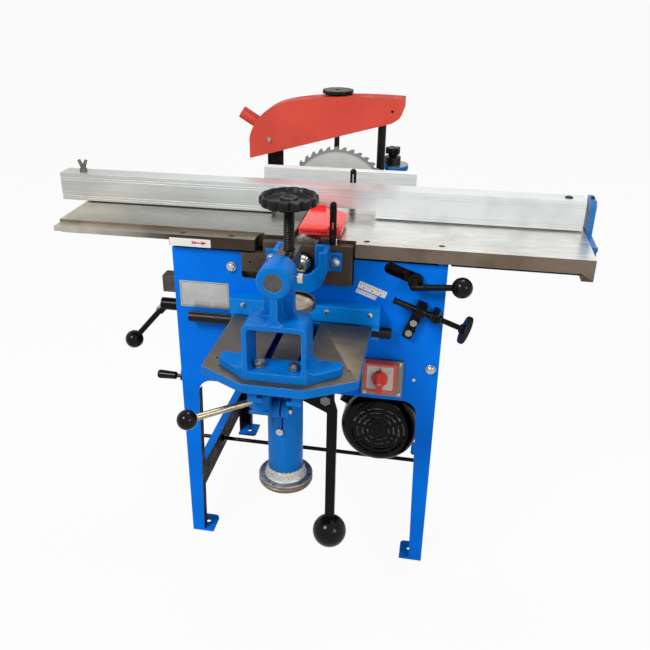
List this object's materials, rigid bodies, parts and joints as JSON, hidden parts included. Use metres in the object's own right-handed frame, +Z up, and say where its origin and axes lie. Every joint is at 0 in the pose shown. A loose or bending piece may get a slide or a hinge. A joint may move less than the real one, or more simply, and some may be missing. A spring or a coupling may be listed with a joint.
{
  "type": "combination woodworking machine",
  "caption": "Bench-sized planer, circular saw and slot mortiser on a sheet-steel stand, driven by one spindle: sloping tables, hinged levers, a rise-and-fall mortising table.",
  "frame": {"origin": "on the floor, at the centre of the four anchor holes in the feet", "axes": "+X along the tables towards the infeed end, +Y from the operator to the back, +Z up"},
  "size_m": [1.108, 0.8545, 0.9645],
  "materials": {
    "blue_paint": "gloss enamel",
    "red_paint": "gloss enamel",
    "black_paint": "satin enamel",
    "cast_iron": "as cast",
    "ground_iron": "ground",
    "steel": "machined",
    "dark_steel": "black oxide",
    "bright_steel": "polished",
    "blade_steel": "ground",
    "aluminium": "extruded",
    "black_plastic": "moulded",
    "fan_plastic": "moulded",
    "rubber": "matt",
    "switch_red": "moulded",
    "plate": "satin"
  },
  "bodies": {
    "stand": {"stand_cabinet": "blue_paint", "planer_body": "cast_iron", "tie_rod": "dark_steel", "spindle_bearings": "steel", "motor_housing": "black_paint", "motor_fan_cover": "fan_plastic", "motor_plate": "black_paint", "v_belts": "rubber", "switch_box": "switch_red", "nameplate": "plate", "panel_fittings": "steel", "mortise_guide": "blue_paint", "chuck_guard": "blue_paint", "guard_posts": "dark_steel", "left_side_blocks": "dark_steel", "guide_rod": "dark_steel"},
    "spindle": {"spindle": "steel", "cutterblock": "steel", "planer_knives": "blade_steel", "spindle_pulley": "cast_iron", "saw_blade": "blade_steel", "saw_flanges": "steel", "mortise_chuck": "dark_steel"},
    "rotor": {"motor_rotor": "steel", "motor_pulley": "cast_iron"},
    "infeed": {"infeed_table": "ground_iron", "infeed_fittings": "dark_steel", "fence_bracket_right": "blue_paint"},
    "infeed_clamp": {"infeed_clamp_lever": "black_paint"},
    "adjust_screw": {"adjust_screw": "dark_steel"},
    "outfeed": {"outfeed_table": "ground_iron", "outfeed_screws": "dark_steel", "fence_bracket_left": "blue_paint"},
    "outfeed_clamp": {"outfeed_clamp_lever": "bright_steel"},
    "fence": {"planer_fence": "aluminium"},
    "fence_wing": {"fence_wing_screw": "dark_steel"},
    "cutter_guard": {"cutter_guard": "red_paint"},
    "knee": {"mortise_knee": "blue_paint", "knee_fittings": "dark_steel"},
    "cross_lever": {"cross_lever": "black_paint"},
    "saddle": {"table_saddle": "blue_paint"},
    "lift_wheel": {"lift_handwheel": "steel"},
    "mortise_table": {"mortise_table": "ground_iron", "hold_down_frame": "blue_paint", "hold_down_bolts": "steel"},
    "plunge_lever": {"plunge_lever": "blue_paint"},
    "press_bar": {"press_bar": "dark_steel"},
    "press_pad": {"press_pad": "steel"},
    "press_screw": {"press_screw": "dark_steel"},
    "saw_table": {"saw_table": "ground_iron", "riving_knife": "steel", "saw_guard_posts": "dark_steel"},
    "rip_fence": {"rip_fence": "aluminium"},
    "mitre_bar": {"mitre_bar": "steel"},
    "mitre_head": {"mitre_head": "blue_paint"},
    "mitre_knob": {"mitre_knob": "black_plastic"},
    "saw_guard": {"saw_guard": "red_paint"},
    "star_wheel": {"star_wheel": "black_plastic"},
    "lift_crank": {"lift_crank": "dark_steel"},
    "switch_knob": {"switch_knob": "switch_red"}
  },
  "joints": [
    {"name": "spindle_spin", "type": "hinge", "parent": "stand", "child": "spindle", "pos_m": [0, 0, 0.715], "axis": [0, 1, 0], "continuous": true},
    {"name": "rotor_spin", "type": "hinge", "parent": "stand", "child": "rotor", "pos_m": [0.154, 0, 0.31], "axis": [0, 1, 0], "continuous": true},
    {"name": "infeed_slide", "type": "slide", "parent": "stand", "child": "infeed", "axis": [0.9397, 0, -0.342], "range_m": [-0.003, 0.006]},
    {"name": "infeed_clamp", "type": "hinge", "parent": "infeed", "child": "infeed_clamp", "pos_m": [0.212, -0.245, 0.688], "axis": [0, -1, 0], "range_deg": [-28, 28]},
    {"name": "adjust_turn", "type": "hinge", "parent": "stand", "child": "adjust_screw", "pos_m": [0.24, -0.258, 0.63], "axis": [0.9397, 0, -0.342], "range_deg": [-545, 1090]},
    {"name": "outfeed_slide", "type": "slide", "parent": "stand", "child": "outfeed", "axis": [-0.9397, 0, -0.342], "range_m": [-0.003, 0.006]},
    {"name": "outfeed_clamp", "type": "hinge", "parent": "stand", "child": "outfeed_clamp", "pos_m": [-0.3, -0.2, 0.578], "axis": [1, 0, 0], "range_deg": [-35, 35]},
    {"name": "fence_slide", "type": "slide", "parent": "outfeed", "child": "fence", "axis": [0, 1, 0], "range_m": [-0.008, 0.018]},
    {"name": "fence_wing", "type": "hinge", "parent": "fence", "child": "fence_wing", "pos_m": [-0.522, -0.07, 0.826], "axis": [0, 0, 1], "range_deg": [-85, 85]},
    {"name": "cutter_guard_lift", "type": "slide", "parent": "stand", "child": "cutter_guard", "axis": [0, 0, 1], "range_m": [-0.002, 0.035]},
    {"name": "knee_slide", "type": "slide", "parent": "stand", "child": "knee", "axis": [1, 0, 0], "range_m": [-0.015, 0.045]},
    {"name": "cross_lever", "type": "hinge", "parent": "knee", "child": "cross_lever", "pos_m": [0.077, -0.43, 0.531], "axis": [0, -1, 0], "range_deg": [-7.6, 22.7]},
    {"name": "table_lift", "type": "slide", "parent": "knee", "child": "saddle", "axis": [0, 0, 1], "range_m": [0, 0.055]},
    {"name": "lift_wheel_turn", "type": "hinge", "parent": "knee", "child": "lift_wheel", "pos_m": [0, -0.42, 0.36], "axis": [0, 0, 1], "range_deg": [0, 3000]},
    {"name": "table_plunge", "type": "slide", "parent": "saddle", "child": "mortise_table", "axis": [0, 1, 0], "range_m": [-0.09, 0]},
    {"name": "plunge_lever", "type": "hinge", "parent": "saddle", "child": "plunge_lever", "pos_m": [-0.0325, -0.473, 0.54], "axis": [0, 0, 1], "range_deg": [0, 70]},
    {"name": "press_bar_slide", "type": "slide", "parent": "mortise_table", "child": "press_bar", "axis": [0, 1, 0], "range_m": [-0.01, 0.02]},
    {"name": "press_pad_lift", "type": "slide", "parent": "press_bar", "child": "press_pad", "axis": [0, 0, 1], "range_m": [-0.068, 0.03]},
    {"name": "press_screw_turn", "type": "hinge", "parent": "press_pad", "child": "press_screw", "pos_m": [0, -0.38, 0.87], "axis": [0, 0, 1], "range_deg": [-6200, 2750]},
    {"name": "saw_table_lift", "type": "slide", "parent": "stand", "child": "saw_table", "axis": [0, 0, 1], "range_m": [0, 0.03]},
    {"name": "lift_crank_turn", "type": "hinge", "parent": "stand", "child": "lift_crank", "pos_m": [-0.28, -0.12, 0.45], "axis": [1, 0, 0], "range_deg": [0, 2720]},
    {"name": "rip_fence_slide", "type": "slide", "parent": "saw_table", "child": "rip_fence", "axis": [0, 1, 0], "range_m": [-0.008, 0.06]},
    {"name": "mitre_slide", "type": "slide", "parent": "saw_table", "child": "mitre_bar", "axis": [1, 0, 0], "range_m": [-0.22, 0.03]},
    {"name": "mitre_turn", "type": "hinge", "parent": "mitre_bar", "child": "mitre_head", "pos_m": [0.122, 0.238, 0.78], "axis": [0, 0, 1], "range_deg": [-45, 45]},
    {"name": "mitre_knob_turn", "type": "hinge", "parent": "mitre_head", "child": "mitre_knob", "pos_m": [0.122, 0.238, 0.815], "axis": [0, 0, 1], "range_deg": [-120, 120]},
    {"name": "saw_guard_lift", "type": "slide", "parent": "saw_table", "child": "saw_guard", "axis": [0, 0, 1], "range_m": [-0.03, 0.008]},
    {"name": "star_wheel_turn", "type": "hinge", "parent": "saw_guard", "child": "star_wheel", "pos_m": [-0.006, 0.187, 0.962], "axis": [0, 0, 1], "range_deg": [-5450, 1480]},
    {"name": "switch_turn", "type": "hinge", "parent": "stand", "child": "switch_knob", "pos_m": [0.1565, -0.252, 0.478], "axis": [0, -1, 0], "range_deg": [-60, 60]}
  ],
  "couplings": [
    {"joint": "rotor_spin", "follows": "spindle_spin", "ratio": 0.63043},
    {"joint": "adjust_turn", "follows": "infeed_slide", "rad_per_m": 3141.6},
    {"joint": "cross_lever", "follows": "knee_slide", "rad_per_m": 8.73},
    {"joint": "lift_wheel_turn", "follows": "table_lift", "rad_per_m": 897.6},
    {"joint": "plunge_lever", "follows": "table_plunge", "rad_per_m": -13.5},
    {"joint": "press_screw_turn", "follows": "press_pad_lift", "rad_per_m": 1570.8},
    {"joint": "lift_crank_turn", "follows": "saw_table_lift", "rad_per_m": 1570.8},
    {"joint": "star_wheel_turn", "follows": "saw_guard_lift", "rad_per_m": 3141.6}
  ]
}
